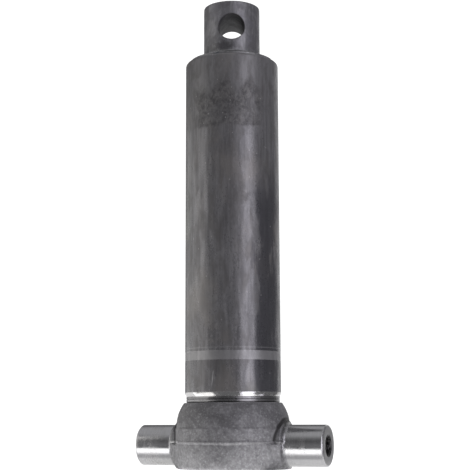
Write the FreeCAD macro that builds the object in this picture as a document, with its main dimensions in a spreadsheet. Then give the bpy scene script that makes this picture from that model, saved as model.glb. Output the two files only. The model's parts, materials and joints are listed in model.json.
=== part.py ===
import FreeCAD
import Part
import math
import os
import sys

import Sketcher
from FreeCAD import Placement, Rotation, Vector

# Two-stage, single-acting telescopic hydraulic cylinder with a trunnion base and a cross-drilled eye.
# Millimetres, +Z up. The origin is on the cylinder's axis at the base's underside, X runs along the
# trunnions with the oil port at +X, and the cylinder is drawn fully closed.

DIMENSIONS = {
    # the barrel, a plain tube that screws onto the base
    "tube_od": 100,
    "tube_bore": 85,
    "tube_foot": 67.2,
    "tube_top": 430.5,
    "tube_edge": 2.8,
    "foot_od": 97,
    "foot_taper_top": 77.4,
    "foot_taper": 4.2,
    "foot_line": 71.6,
    "band_low": 109.7,
    "band_high": 119,
    "band_depth": 0.12,
    # the forged base with its two trunnions
    "base_top": 67,
    "rim_od": 103,
    "drum_od": 118.6,
    "drum_waist": 41.2,
    "drum_step": 0.5,
    "dome_radius": 40,
    "flash_height": 27.2,
    "flash_proud": 1,
    "flash_width": 3.2,
    "draft": 2,
    "trunnion_od": 42,
    "trunnion_span": 205,
    "trunnion_height": 23.5,
    "trunnion_edge": 1.4,
    "collar_od": 52,
    "collar_span": 119,
    "root_radius": 4.6,
    "port_bore": 18.6,
    "port_mouth": 22.4,
    "port_length": 18,
    "gallery_bore": 12,
    "centre_od": 6.3,
    "centre_depth": 5.5,
    "spigot_top": 97,
    "screw_od": 88,
    "screw_top": 89.5,
    # the gland nut that closes the barrel
    "gland_low": 392,
    "gland_top": 433,
    "gland_screw": 90,
    "gland_screw_low": 402,
    "flange_od": 92.6,
    "flange_edge": 0.8,
    "spanner_width": 6,
    "spanner_depth": 2.2,
    "spanner_count": 4,
    # the sleeve, the first stage
    "sleeve_od": 76,
    "sleeve_bore": 66,
    "sleeve_foot": 97.4,
    "sleeve_top": 436.7,
    "sleeve_edge": 1.2,
    "head_low": 392.5,
    # the plunger, the second stage, with its eye
    "plunger_od": 61,
    "plunger_bore": 48,
    "plunger_foot": 102.1,
    "plunger_top": 438.6,
    "plug_thickness": 14,
    "bead_width": 2.4,
    "bead_proud": 0.9,
    "eye_top": 494.4,
    "eye_edge": 1.5,
    "eye_bore": 28,
    "eye_bevel": 1.2,
    "eye_height": 465.8,
    "eye_spigot": 24,
    "eye_turn": 20.8,
    # grooves and what they hold
    "groove_depth": 4.2,
    "seal_height": 8,
    "guide_depth": 2.5,
    "guide_height": 11,
    "wiper_height": 5.4,
    "wiper_mouth": 3.3,
    "cord_section": 3.4,
    "sleeve_groove": 2,
    "plunger_groove": 2.1,
    "sleeve_wire": 6,
    "plunger_wire": 4.2,
    "ring_gap": 6,
    "play": 0.1,
    "slip": 0.05,
}

doc = FreeCAD.newDocument("telescopic_cylinder")
sheet = doc.addObject("Spreadsheet::Sheet", "Sizes")


class Size:
    """A length with its value now and the sheet expression that drives it."""

    def __init__(self, value, text):
        self.value = value
        self.text = text

    def __add__(self, other):
        other = as_size(other)
        return Size(self.value + other.value, f"({self.text} + {other.text})")

    def __sub__(self, other):
        other = as_size(other)
        return Size(self.value - other.value, f"({self.text} - {other.text})")

    def __rsub__(self, other):
        return as_size(other) - self

    def __mul__(self, other):
        other = as_size(other)
        return Size(self.value * other.value, f"({self.text} * {other.text})")

    def __truediv__(self, other):
        other = as_size(other)
        return Size(self.value / other.value, f"({self.text} / {other.text})")

    def __neg__(self):
        return Size(-self.value, f"(-1 * {self.text})")

    __radd__ = __add__
    __rmul__ = __mul__


def as_size(number):
    return number if isinstance(number, Size) else Size(float(number), repr(float(number)))


def fill_sheet():
    """Writes each driving dimension into a cell that carries its name as alias."""
    named = {}
    for row, (name, number) in enumerate(DIMENSIONS.items(), start=1):
        sheet.set(f"A{row}", name)
        sheet.set(f"B{row}", str(number))
        sheet.setAlias(f"B{row}", name)
        named[name] = Size(float(number), f"Sizes.{name}")
    doc.recompute()
    return named


S = fill_sheet()

# radii and heights that several pieces share
TUBE_R = S["tube_od"] / 2
TUBE_BORE_R = S["tube_bore"] / 2
SLEEVE_R = S["sleeve_od"] / 2
SLEEVE_BORE_R = S["sleeve_bore"] / 2
PLUNGER_R = S["plunger_od"] / 2
PLUNGER_BORE_R = S["plunger_bore"] / 2
SCREW_R = S["screw_od"] / 2
GLAND_SCREW_R = S["gland_screw"] / 2
GLAND_BORE_R = SLEEVE_R + S["play"]
HEAD_BORE_R = PLUNGER_R + S["play"]
LAND = 3
SPLIT_TURN = 360 - S["ring_gap"]


def plane_of(body, role):
    """One of the body's own origin planes."""
    for feature in body.Origin.OriginFeatures:
        if feature.Role == role:
            return feature
    raise ValueError(f"{body.Label} has no {role}")


def new_sketch(body, role, name, lift=None):
    """A sketch on one of the body's planes, lifted towards +Z if asked."""
    sketch = body.newObject("Sketcher::SketchObject", name)
    sketch.AttachmentSupport = [(plane_of(body, role), "")]
    sketch.MapMode = "FlatFace"
    if lift is not None:
        upwards = (0, 0, 1) if role == "XY_Plane" else (0, 1, 0)
        sketch.AttachmentOffset = Placement(Vector(*upwards) * lift.value, Rotation())
        axis = "z" if role == "XY_Plane" else "y"
        sketch.setExpression(f"AttachmentOffset.Base.{axis}", lift.text)
    return sketch


def arc_between(start, end, radius):
    """The arc from start to end; it turns left if the radius is positive and right if negative."""
    chord = end - start
    half = chord.Length / 2
    inward = Vector(-chord.y, chord.x, 0).normalize() * math.copysign(1, radius)
    centre = start + chord * 0.5 + inward * math.sqrt(radius**2 - half**2)
    first, last = (start, end) if radius > 0 else (end, start)
    turn_from = math.atan2(first.y - centre.y, first.x - centre.x)
    turn_to = math.atan2(last.y - centre.y, last.x - centre.x)
    circle = Part.Circle(centre, Vector(0, 0, 1), abs(radius))
    return Part.ArcOfCircle(circle, turn_from, turn_to)


def pin_down(sketch, kind, geometry, corner, size):
    """Fixes one coordinate of a corner to its size in the sheet."""
    axis_line = -2 if kind == "DistanceX" else -1
    if size.value == 0:
        sketch.addConstraint(Sketcher.Constraint("PointOnObject", geometry, corner, axis_line))
        return
    ends = (-1, 1, geometry, corner) if size.value > 0 else (geometry, corner, -1, 1)
    size = size if size.value > 0 else -size
    index = sketch.addConstraint(Sketcher.Constraint(kind, *ends, size.value))
    sketch.setExpression(f"Constraints[{index}]", size.text)


def draw_outline(sketch, corners):
    """Draws a closed outline. Each corner is (across, up), with the radius of the arc that follows it
    as an optional third item."""
    corners = [tuple(as_size(item) for item in corner) for corner in corners]
    points = [Vector(corner[0].value, corner[1].value, 0) for corner in corners]
    sides = []
    for index, corner in enumerate(corners):
        start, end = points[index], points[(index + 1) % len(points)]
        if len(corner) == 3:
            radius = corner[2]
            side = sketch.addGeometry(arc_between(start, end, radius.value), False)
            sides.append((side, 1, 2) if radius.value > 0 else (side, 2, 1))
            bend = abs(radius.value)
            constraint = sketch.addConstraint(Sketcher.Constraint("Radius", side, bend))
            text = radius.text if radius.value > 0 else (-radius).text
            sketch.setExpression(f"Constraints[{constraint}]", text)
        else:
            sides.append((sketch.addGeometry(Part.LineSegment(start, end), False), 1, 2))
    for index, (side, first, _) in enumerate(sides):
        before, _, last = sides[index - 1]
        sketch.addConstraint(Sketcher.Constraint("Coincident", before, last, side, first))
        pin_down(sketch, "DistanceX", side, first, corners[index][0])
        pin_down(sketch, "DistanceY", side, first, corners[index][1])


def volume(feature):
    doc.recompute()
    return feature.Shape.Volume


def revolve(body, name, corners, kind="Revolution", axis="V_Axis", lift=None, turn=None):
    """Turns an outline drawn in the XZ plane about the Z axis, or about X at a lifted height."""
    sketch = new_sketch(body, "XZ_Plane", f"{name}_outline", lift)
    draw_outline(sketch, corners)
    before = volume(body) if body.Tip else 0
    feature = body.newObject(f"PartDesign::{kind}", name)
    feature.Profile = sketch
    feature.ReferenceAxis = (sketch, [axis])
    feature.Angle = 360 if turn is None else turn.value
    if turn is not None:
        feature.setExpression("Angle", turn.text)
    after = volume(body)
    changed = after - before if kind == "Revolution" else before - after
    if changed < 1:
        raise ValueError(f"{name} changes nothing")
    return feature


def turned_piece(name, corners, turn=None):
    """A piece turned about the cylinder's axis."""
    body = doc.addObject("PartDesign::Body", name)
    revolve(body, f"{name}_turned", corners, turn=turn)
    return body


def cut_through(body, name, role, corners, both_ways=True, lift=None):
    """Cuts an outline right through the body."""
    sketch = new_sketch(body, role, f"{name}_outline", lift)
    draw_outline(sketch, corners)
    return pocket(body, name, sketch, both_ways)


def pocket(body, name, sketch, both_ways=True):
    """A pocket through everything on both sides of the sketch, checked to remove something."""
    before = volume(body)
    feature = body.newObject("PartDesign::Pocket", name)
    feature.Profile = sketch
    feature.Type = "ThroughAll"
    feature.Midplane = both_ways
    if before - volume(body) < 1:
        raise ValueError(f"{name} cuts nothing")
    return feature


def wire_ring(name, ring_radius, section, height, split=False):
    """A ring of round section, lying flat at a height."""
    ring = doc.addObject("Part::Torus", name)
    for field, size in (("Radius1", ring_radius), ("Radius2", section / 2)):
        setattr(ring, field, size.value)
        ring.setExpression(field, size.text)
    ring.Placement = Placement(Vector(0, 0, height.value), Rotation())
    ring.setExpression("Placement.Base.z", height.text)
    if split:
        ring.Angle3 = SPLIT_TURN.value
        ring.setExpression("Angle3", SPLIT_TURN.text)
    return ring


def lip_seal(name, shaft_r, groove_r, low):
    """A U-shaped seal: its two lips open downwards, towards the oil."""
    inner = shaft_r + S["slip"]
    high = low + S["seal_height"]
    lip = 1.3
    return turned_piece(
        name,
        [
            (inner, low),
            (inner + lip, low),
            ((inner + groove_r) / 2, low + S["seal_height"] * 0.45),
            (groove_r - lip, low),
            (groove_r, low),
            (groove_r, high),
            (inner, high),
        ],
    )


def wiper(name, shaft_r, groove_r, low, top, lip_rise):
    """A scraper ring pressed in at the mouth, with a lip that stands up round the shaft."""
    inner = shaft_r + S["slip"]
    mouth_r = shaft_r + S["wiper_mouth"] - S["slip"]
    shoulder = low + S["wiper_height"]
    relief = 1.0
    return turned_piece(
        name,
        [
            (inner, low),
            (groove_r, low),
            (groove_r, shoulder),
            (mouth_r, shoulder),
            (mouth_r, top - 0.4),
            (shaft_r + 1.9, top + 0.2),
            (inner + 0.7, top + lip_rise),
            (inner, top + lip_rise),
            (inner + relief, low + S["wiper_height"] * 0.7),
            (inner + relief, low + 1.6),
            (inner, low + 0.9),
        ],
    )


def guide_ring(name, inner, outer, low, height):
    """A split bearing ring of hard cloth-filled resin."""
    edge = 0.4
    return turned_piece(
        name,
        [
            (inner, low),
            (outer - edge, low),
            (outer, low + edge),
            (outer, low + height - edge),
            (outer - edge, low + height),
            (inner, low + height),
        ],
        turn=SPLIT_TURN,
    )


def inner_groove(bore_r, depth, low, high):
    """Corners of a groove cut outwards from a bore, met on the way up."""
    return [(bore_r, low), (bore_r + depth, low), (bore_r + depth, high), (bore_r, high)]


def outer_groove(outer_r, depth, low, high):
    """Corners of a groove cut inwards from an outer face, met on the way down."""
    return [(outer_r, high), (outer_r - depth, high), (outer_r - depth, low), (outer_r, low)]


# heights of the grooves, from the foot of the piece that carries them
SPIGOT_GROOVE = S["spigot_top"] - 6
GLAND_CORD_GROOVE = S["gland_low"] + 1.2
GLAND_GUIDE = S["gland_low"] + 7.5
GLAND_SEAL = GLAND_GUIDE + S["guide_height"] + LAND
GLAND_WIPER = S["gland_top"] - 1.2 - S["wiper_height"]
HEAD_GUIDE = S["head_low"] + LAND
HEAD_SEAL = HEAD_GUIDE + S["guide_height"] + LAND + 2
HEAD_WIPER = S["sleeve_top"] - 1.2 - S["wiper_height"]
SLEEVE_REST = S["sleeve_foot"] + 1.6
REST_THICKNESS = 2.6
SLEEVE_GUIDE = S["sleeve_foot"] + 6
SLEEVE_STOP = SLEEVE_GUIDE + S["guide_height"] + LAND
PLUNGER_GUIDE = S["plunger_foot"] + 5
PLUNGER_STOP = PLUNGER_GUIDE + S["guide_height"] + LAND
CORD_GROOVE_WIDTH = S["cord_section"] * 1.25
CORD_GROOVE_DEPTH = S["cord_section"] * 0.8

# the webs' sections: share of the height up to the parting line, and share of the collar's radius
WEB_LEVELS = ((0, 0.42), (0.4, 0.86), (1, 0.99))


def make_base():
    """The forging: a drum with a domed shoulder, a parting line, two turned trunnions and the oil way."""
    body = doc.addObject("PartDesign::Body", "trunnion_base")
    drum_r = S["drum_od"] / 2
    shoulder_r = drum_r - S["drum_step"]
    rim_r = S["rim_od"] / 2
    flash_low = S["flash_height"] - S["flash_width"] / 2
    flash_high = S["flash_height"] + S["flash_width"] / 2
    flash_edge = S["flash_width"] / 4
    sole_r = drum_r - S["draft"]
    sole_edge = 1.8
    revolve(
        body,
        "drum",
        [
            (0, 0),
            (sole_r - sole_edge, 0),
            (sole_r, sole_edge),
            (drum_r, flash_low),
            (drum_r + S["flash_proud"], flash_low + flash_edge),
            (drum_r + S["flash_proud"], flash_high - flash_edge),
            (drum_r, flash_high),
            (drum_r - 0.2, S["drum_waist"]),
            (shoulder_r, S["drum_waist"] + 1.4, S["dome_radius"]),
            (rim_r, S["base_top"] - 1),
            (rim_r - 1, S["base_top"]),
            (SCREW_R, S["base_top"]),
            (SCREW_R, S["screw_top"] - 1.5),
            (SCREW_R - 1.5, S["screw_top"]),
            (TUBE_BORE_R - S["slip"], S["screw_top"]),
            *reversed(
                outer_groove(
                    TUBE_BORE_R - S["slip"],
                    CORD_GROOVE_DEPTH,
                    SPIGOT_GROOVE,
                    SPIGOT_GROOVE + CORD_GROOVE_WIDTH,
                )
            ),
            (TUBE_BORE_R - S["slip"], S["spigot_top"] - 1),
            (TUBE_BORE_R - 1, S["spigot_top"]),
            (0, S["spigot_top"]),
        ],
    )
    half_span = S["trunnion_span"] / 2
    collar = S["collar_span"] / 2
    pin_r = S["trunnion_od"] / 2
    collar_r = S["collar_od"] / 2
    right_half = [
        (half_span, 0),
        (half_span, pin_r - S["trunnion_edge"]),
        (half_span - S["trunnion_edge"], pin_r),
        (collar + S["root_radius"], pin_r, -S["root_radius"]),
        (collar, pin_r + S["root_radius"]),
        (collar - 0.6, collar_r),
    ]
    left_half = [
        (-collar + 0.6, collar_r),
        (-collar, pin_r + S["root_radius"], -S["root_radius"]),
        (-collar - S["root_radius"], pin_r),
        (-half_span + S["trunnion_edge"], pin_r),
        (-half_span, pin_r - S["trunnion_edge"]),
        (-half_span, 0),
    ]
    lift = S["trunnion_height"]
    revolve(body, "trunnions", right_half + left_half, axis="H_Axis", lift=lift)
    for name, side in (("web_right", 1), ("web_left", -1)):
        add_web(body, name, side)
    flatten_sole(body, half_span)
    drill_oil_way(body, half_span, lift)
    drill_centre(body, half_span, lift)
    return body


def add_web(body, name, side):
    """Fills the corner between the drum and a collar below the parting line, flaring with the collar."""
    reach = (S["collar_span"] / 2 - 0.4) * side
    top = S["flash_height"] - S["flash_width"] / 2
    drum_r = S["drum_od"] / 2
    levels = []
    for rise, widening in WEB_LEVELS:
        corner = (drum_r - S["draft"] * (1 - rise)) * 0.706
        half_width = S["collar_od"] / 2 * widening
        sketch = new_sketch(body, "XY_Plane", f"{name}_{len(levels)}", top * rise)
        outline = [
            (corner * side, -corner),
            (reach, -half_width),
            (reach, half_width),
            (corner * side, corner),
        ]
        draw_outline(sketch, outline)
        levels.append(sketch)
    before = volume(body)
    web = body.newObject("PartDesign::AdditiveLoft", name)
    web.Profile = levels[0]
    web.Sections = levels[1:]
    web.Ruled = True
    if volume(body) - before < 1:
        raise ValueError(f"{name} adds nothing")


def flatten_sole(body, half_span):
    """Planes the collars flush with the sole."""
    deep = 10
    cut_through(
        body,
        "sole_cut",
        "XZ_Plane",
        [(-half_span, 0), (half_span, 0), (half_span, -deep), (-half_span, -deep)],
    )


def drill_oil_way(body, half_span, lift):
    """The port in the right trunnion, the long drilling behind it, and the riser to the chamber."""
    port_r = S["port_bore"] / 2
    mouth_r = S["port_mouth"] / 2
    gallery_r = S["gallery_bore"] / 2
    bevel = mouth_r - port_r
    revolve(
        body,
        "port",
        [
            (0, 0),
            (half_span, 0),
            (half_span, mouth_r),
            (half_span - bevel, port_r),
            (half_span - S["port_length"], port_r),
            (half_span - S["port_length"] - 2, gallery_r),
            (0, gallery_r),
        ],
        kind="Groove",
        axis="H_Axis",
        lift=lift,
    )
    revolve(
        body,
        "riser",
        [
            (0, S["trunnion_height"]),
            (gallery_r, S["trunnion_height"]),
            (gallery_r, S["spigot_top"] - 2),
            (gallery_r + 2, S["spigot_top"]),
            (0, S["spigot_top"]),
        ],
        kind="Groove",
    )


def drill_centre(body, half_span, lift):
    """The lathe centre's hole in the end of the plain trunnion: a cone with a short pilot."""
    mouth_r = S["centre_od"] / 2
    pilot_r = mouth_r * 0.4
    revolve(
        body,
        "centre_hole",
        [
            (-half_span, 0),
            (-half_span + S["centre_depth"], 0),
            (-half_span + S["centre_depth"], pilot_r),
            (-half_span + (mouth_r - pilot_r) * 1.73, pilot_r),
            (-half_span, mouth_r),
        ],
        kind="Groove",
        axis="H_Axis",
        lift=lift,
    )


def make_barrel_tube():
    """The plain outer tube: turned and tapered at its foot, with a turned band for the steady rest."""
    foot_r = S["foot_od"] / 2
    band_r = TUBE_R - S["band_depth"]
    line_depth = 0.5
    line_width = 0.9
    return turned_piece(
        "barrel_tube",
        [
            (SCREW_R, S["tube_foot"]),
            (foot_r - 0.5, S["tube_foot"]),
            (foot_r, S["tube_foot"] + 0.5),
            (foot_r, S["foot_line"]),
            (foot_r - line_depth, S["foot_line"] + line_width / 3),
            (foot_r - line_depth, S["foot_line"] + line_width * 0.66),
            (foot_r, S["foot_line"] + line_width),
            (foot_r, S["foot_taper_top"] - S["foot_taper"]),
            (TUBE_R, S["foot_taper_top"]),
            (TUBE_R, S["band_low"]),
            (band_r, S["band_low"] + S["band_depth"]),
            (band_r, S["band_high"] - S["band_depth"]),
            (TUBE_R, S["band_high"]),
            (TUBE_R, S["tube_top"] - S["tube_edge"], S["tube_edge"] * 1.25),
            (TUBE_R - S["tube_edge"] * 0.9, S["tube_top"]),
            (GLAND_SCREW_R, S["tube_top"]),
            (GLAND_SCREW_R, S["gland_screw_low"] - 1),
            (TUBE_BORE_R, S["gland_screw_low"] - 3.5),
            (TUBE_BORE_R, S["screw_top"] + 1),
            (SCREW_R, S["screw_top"] + 0.5),
        ],
    )


def make_gland_nut():
    """The nut that screws into the barrel's top and carries the seal, wiper and guide ring."""
    bore = GLAND_BORE_R
    seat_r = TUBE_BORE_R - S["slip"]
    flange_r = S["flange_od"] / 2
    low, high = S["gland_low"], S["gland_top"]
    wiper_top = GLAND_WIPER + S["wiper_height"]
    body = turned_piece(
        "gland_nut",
        [
            (bore, low),
            (seat_r - 0.6, low),
            (seat_r, low + 0.6),
            *reversed(
                outer_groove(
                    seat_r,
                    CORD_GROOVE_DEPTH,
                    GLAND_CORD_GROOVE,
                    GLAND_CORD_GROOVE + CORD_GROOVE_WIDTH,
                )
            ),
            (seat_r, S["gland_screw_low"] - 2),
            (GLAND_SCREW_R, S["gland_screw_low"] + 0.6),
            (GLAND_SCREW_R, S["tube_top"]),
            (flange_r, S["tube_top"]),
            (flange_r, high - S["flange_edge"]),
            (flange_r - S["flange_edge"], high),
            (SLEEVE_R + S["wiper_mouth"], high),
            (SLEEVE_R + S["wiper_mouth"], wiper_top),
            (bore + S["groove_depth"], wiper_top),
            (bore + S["groove_depth"], GLAND_WIPER),
            (bore, GLAND_WIPER),
            *reversed(
                inner_groove(
                    bore, S["groove_depth"], GLAND_SEAL, GLAND_SEAL + S["seal_height"]
                )
            ),
            *reversed(
                inner_groove(
                    bore, S["guide_depth"], GLAND_GUIDE, GLAND_GUIDE + S["guide_height"]
                )
            ),
        ],
    )
    slot = new_sketch(body, "XZ_Plane", "spanner_slot_outline")
    half = S["spanner_width"] / 2
    draw_outline(
        slot,
        [
            (-half, high - S["spanner_depth"]),
            (half, high - S["spanner_depth"]),
            (half, high + 1),
            (-half, high + 1),
        ],
    )
    before = volume(body)
    first = body.newObject("PartDesign::Pocket", "spanner_slot")
    first.Profile = slot
    first.Type = "ThroughAll"
    first.Midplane = False
    ring = body.newObject("PartDesign::PolarPattern", "spanner_slots")
    ring.Originals = [first]
    ring.Axis = (slot, ["V_Axis"])
    ring.Angle = 360
    ring.Occurrences = int(S["spanner_count"].value)
    body.Tip = ring
    if before - volume(body) < 1:
        raise ValueError("the spanner slots cut nothing")
    return body


def make_sleeve_tube():
    """The first stage: a tube with a thick head for the plunger's seals and grooves at its foot."""
    bore, head = SLEEVE_BORE_R, HEAD_BORE_R
    foot, top = S["sleeve_foot"], S["sleeve_top"]
    wiper_top = HEAD_WIPER + S["wiper_height"]
    play = S["play"]
    return turned_piece(
        "sleeve_tube",
        [
            (bore, foot),
            (SLEEVE_R - 1, foot),
            (SLEEVE_R, foot + 1),
            *reversed(
                outer_groove(
                    SLEEVE_R,
                    S["sleeve_groove"],
                    SLEEVE_GUIDE,
                    SLEEVE_GUIDE + S["guide_height"] + play,
                )
            ),
            *reversed(
                outer_groove(
                    SLEEVE_R,
                    S["sleeve_groove"],
                    SLEEVE_STOP,
                    SLEEVE_STOP + S["sleeve_wire"] + play * 2,
                )
            ),
            (SLEEVE_R, top - S["sleeve_edge"]),
            (SLEEVE_R - S["sleeve_edge"], top),
            (PLUNGER_R + S["wiper_mouth"], top),
            (PLUNGER_R + S["wiper_mouth"], wiper_top),
            (head + S["groove_depth"], wiper_top),
            (head + S["groove_depth"], HEAD_WIPER),
            (head, HEAD_WIPER),
            *reversed(
                inner_groove(head, S["groove_depth"], HEAD_SEAL, HEAD_SEAL + S["seal_height"])
            ),
            *reversed(
                inner_groove(head, S["guide_depth"], HEAD_GUIDE, HEAD_GUIDE + S["guide_height"])
            ),
            (head, S["head_low"]),
            (bore, S["head_low"]),
            *reversed(inner_groove(bore, 1.6, SLEEVE_REST, SLEEVE_REST + REST_THICKNESS)),
        ],
    )


def make_plunger_tube():
    """The second stage: a ground, hard-chromed hollow ram with grooves at its foot."""
    foot = S["plunger_foot"]
    play = S["play"]
    return turned_piece(
        "plunger_tube",
        [
            (PLUNGER_BORE_R, foot),
            (PLUNGER_R - 1, foot),
            (PLUNGER_R, foot + 1),
            *reversed(
                outer_groove(
                    PLUNGER_R,
                    S["plunger_groove"],
                    PLUNGER_GUIDE,
                    PLUNGER_GUIDE + S["guide_height"] + play,
                )
            ),
            *reversed(
                outer_groove(
                    PLUNGER_R,
                    S["plunger_groove"],
                    PLUNGER_STOP,
                    PLUNGER_STOP + S["plunger_wire"] + play * 2,
                )
            ),
            (PLUNGER_R, S["plunger_top"]),
            (PLUNGER_BORE_R, S["plunger_top"]),
        ],
    )


def make_rod_eye():
    """The solid stub with the cross hole. Its spigot sits in the plunger's bore."""
    low = S["plunger_top"]
    body = turned_piece(
        "rod_eye",
        [
            (0, low - S["eye_spigot"]),
            (PLUNGER_BORE_R - 1.5, low - S["eye_spigot"]),
            (PLUNGER_BORE_R, low - S["eye_spigot"] + 1.5),
            (PLUNGER_BORE_R, low),
            (PLUNGER_R - S["bead_width"] / 2, low),
            (PLUNGER_R, low + S["bead_width"] / 2),
            (PLUNGER_R, S["eye_top"] - S["eye_edge"], S["eye_edge"] * 1.3),
            (PLUNGER_R - S["eye_edge"], S["eye_top"]),
            (0, S["eye_top"]),
        ],
    )
    hole = new_sketch(body, "XZ_Plane", "cross_hole_outline")
    centre = Vector(0, S["eye_height"].value, 0)
    radius = S["eye_bore"] / 2
    circle = hole.addGeometry(Part.Circle(centre, Vector(0, 0, 1), radius.value), False)
    size = hole.addConstraint(Sketcher.Constraint("Radius", circle, radius.value))
    hole.setExpression(f"Constraints[{size}]", radius.text)
    pin_down(hole, "DistanceX", circle, 3, as_size(0))
    pin_down(hole, "DistanceY", circle, 3, S["eye_height"])
    cross = pocket(body, "cross_hole", hole)
    doc.recompute()
    rims = [
        f"Edge{index}"
        for index, edge in enumerate(cross.Shape.Edges, start=1)
        if is_hole_rim(edge, radius.value)
    ]
    bevel = body.newObject("PartDesign::Chamfer", "hole_bevels")
    bevel.Base = (cross, rims)
    bevel.Size = S["eye_bevel"].value
    bevel.setExpression("Size", S["eye_bevel"].text)
    body.Placement = Placement(Vector(0, 0, 0), Rotation(Vector(0, 0, 1), S["eye_turn"].value))
    body.setExpression("Placement.Rotation.Angle", S["eye_turn"].text)
    return body


def is_hole_rim(edge, radius):
    """True for an edge where the cross hole breaks out of the stub."""
    box = edge.BoundBox
    near_hole = abs((box.ZMin + box.ZMax) / 2 - S["eye_height"].value) < 1
    return near_hole and box.ZLength > radius and box.XLength > radius


def make_bead(name, height):
    """The weld bead between the plunger and its eye: a shallow half-round ring in a V groove."""
    half = S["bead_width"] / 2
    return turned_piece(
        name,
        [
            (PLUNGER_R - half, height),
            (PLUNGER_R + 0.1, height),
            (PLUNGER_R + S["bead_proud"] * 0.6, height + 0.1, S["bead_width"] * 0.62),
            (PLUNGER_R, height + half),
        ],
    )


def make_foot_plug():
    """The disc that closes the plunger's foot, so that the hollow ram stays dry inside."""
    foot = S["plunger_foot"] + 0.8
    return turned_piece(
        "plunger_foot_plug",
        [
            (0, foot),
            (PLUNGER_BORE_R - 1, foot),
            (PLUNGER_BORE_R, foot + 1),
            (PLUNGER_BORE_R, foot + S["plug_thickness"]),
            (0, foot + S["plug_thickness"]),
        ],
    )


def make_rest_ring():
    """The snap ring inside the sleeve's foot that the plunger rests on."""
    return turned_piece(
        "sleeve_rest_ring",
        [
            (SLEEVE_BORE_R - 5.5, SLEEVE_REST),
            (SLEEVE_BORE_R + 1.6, SLEEVE_REST),
            (SLEEVE_BORE_R + 1.6, SLEEVE_REST + REST_THICKNESS),
            (SLEEVE_BORE_R - 5.5, SLEEVE_REST + REST_THICKNESS),
        ],
        turn=SPLIT_TURN,
    )


def static_cord(name, seat_r, low):
    """A round rubber cord ring squeezed into its groove."""
    ring_r = seat_r - CORD_GROOVE_DEPTH + S["cord_section"] * 0.4
    section = S["cord_section"] * 0.8
    return wire_ring(name, ring_r, section, low + CORD_GROOVE_WIDTH / 2)


def make_pieces():
    """Every separate piece, outer ones first."""
    seat_r = TUBE_BORE_R - S["slip"]
    slip = S["slip"]
    play = S["play"]
    deep = S["groove_depth"]
    return [
        make_base(),
        make_barrel_tube(),
        static_cord("base_o_ring", seat_r, SPIGOT_GROOVE),
        make_gland_nut(),
        static_cord("gland_o_ring", seat_r, GLAND_CORD_GROOVE),
        guide_ring(
            "gland_guide_ring",
            SLEEVE_R + slip,
            GLAND_BORE_R + S["guide_depth"],
            GLAND_GUIDE,
            S["guide_height"],
        ),
        lip_seal("gland_lip_seal", SLEEVE_R, GLAND_BORE_R + deep, GLAND_SEAL),
        wiper("gland_wiper", SLEEVE_R, GLAND_BORE_R + deep, GLAND_WIPER, S["gland_top"], 1.6),
        make_sleeve_tube(),
        make_rest_ring(),
        guide_ring(
            "sleeve_head_guide_ring",
            PLUNGER_R + slip,
            HEAD_BORE_R + S["guide_depth"],
            HEAD_GUIDE,
            S["guide_height"],
        ),
        lip_seal("sleeve_head_lip_seal", PLUNGER_R, HEAD_BORE_R + deep, HEAD_SEAL),
        wiper(
            "sleeve_head_wiper", PLUNGER_R, HEAD_BORE_R + deep, HEAD_WIPER, S["sleeve_top"], 1.5
        ),
        guide_ring(
            "sleeve_foot_guide_ring",
            SLEEVE_R - S["sleeve_groove"] + play,
            TUBE_BORE_R - slip,
            SLEEVE_GUIDE + play / 2,
            S["guide_height"],
        ),
        wire_ring(
            "sleeve_stop_ring",
            SLEEVE_R - S["sleeve_groove"] + S["sleeve_wire"] / 2 + play,
            S["sleeve_wire"],
            SLEEVE_STOP + S["sleeve_wire"] / 2 + play,
            split=True,
        ),
        make_plunger_tube(),
        make_foot_plug(),
        make_rod_eye(),
        make_bead("eye_weld_bead", S["plunger_top"]),
        guide_ring(
            "plunger_foot_guide_ring",
            PLUNGER_R - S["plunger_groove"] + play,
            SLEEVE_BORE_R - slip,
            PLUNGER_GUIDE + play / 2,
            S["guide_height"],
        ),
        wire_ring(
            "plunger_stop_ring",
            PLUNGER_R - S["plunger_groove"] + S["plunger_wire"] / 2 + play,
            S["plunger_wire"],
            PLUNGER_STOP + S["plunger_wire"] / 2 + play,
            split=True,
        ),
    ]


def write_parts(pieces):
    """Checks every object and every shape, then writes one STEP file per piece."""
    doc.recompute()
    failed = [item.Label for item in doc.Objects if {"Invalid", "Error"} & set(item.State)]
    if failed:
        sys.exit(f"these objects failed: {failed}")
    for piece in pieces:
        if piece.Shape.isNull() or not piece.Shape.isValid() or not piece.Shape.Solids:
            sys.exit(f"{piece.Label} has no valid solid")
    os.makedirs("parts", exist_ok=True)
    for piece in pieces:
        piece.Shape.exportStep(f"parts/{piece.Label}.step")
        print(f"{piece.Label}: {piece.Shape.Volume / 1000:.1f} cm3")


write_parts(make_pieces())
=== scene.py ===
import json
import math

import bmesh
import bpy
import numpy as np
from mathutils import Matrix, Vector, noise


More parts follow.
